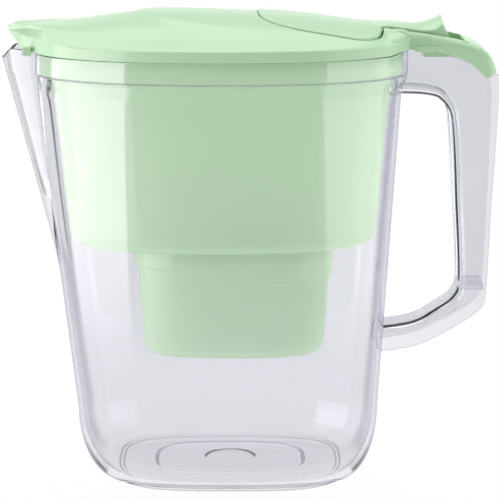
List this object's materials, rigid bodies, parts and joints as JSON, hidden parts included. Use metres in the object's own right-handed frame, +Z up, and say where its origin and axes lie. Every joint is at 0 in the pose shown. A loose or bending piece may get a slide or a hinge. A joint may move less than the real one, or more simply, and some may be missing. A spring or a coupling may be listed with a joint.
{
  "type": "water filter pitcher",
  "caption": "Clear jug with a channel handle and pouring spout, a tinted funnel hanging in its collar, a filter cartridge in the funnel's cup, and a lid with a rocking fill flap.",
  "frame": {"origin": "on the table under the middle of the whole object's box, with the foot ring at Z = 0", "axes": "+X from the spout to the handle, +Y from the pictured front to the back, +Z up"},
  "size_m": [0.2646, 0.1268, 0.2561],
  "materials": {
    "clear_jug": "clear polished plastic",
    "tinted_funnel": "see-through green-tinted plastic",
    "mint_lid": "glossy mint plastic",
    "mint_flap": "glossy mint plastic",
    "white_cartridge": "satin white plastic",
    "seal_rubber": "soft pale sealing ring",
    "screen_mesh": "fine woven plastic mesh",
    "dark_granules": "packed dark granules"
  },
  "bodies": {
    "jug": {"jug_body": "clear_jug", "jug_handle": "clear_jug"},
    "funnel": {"funnel": "tinted_funnel"},
    "lid": {"lid": "mint_lid"},
    "flap": {"fill_flap": "mint_flap"},
    "cartridge": {"cartridge_shell": "white_cartridge", "cartridge_cap": "white_cartridge", "cartridge_seal": "seal_rubber", "inlet_screen": "screen_mesh", "outlet_screen": "screen_mesh", "filter_media": "dark_granules"}
  },
  "joints": [
    {"name": "funnel_lift", "type": "slide", "parent": "jug", "child": "funnel", "axis": [0, 0, 1], "range_m": [0, 0.175]},
    {"name": "lid_lift", "type": "slide", "parent": "funnel", "child": "lid", "axis": [0, 0, 1], "range_m": [0, 0.06]},
    {"name": "flap_hinge", "type": "hinge", "parent": "lid", "child": "flap", "pos_m": [0.07995, 0, 0.2445], "axis": [0, 1, 0], "range_deg": [0, 15]},
    {"name": "cartridge_lift", "type": "slide", "parent": "funnel", "child": "cartridge", "axis": [0, 0, 1], "range_m": [0, 0.065]}
  ]
}
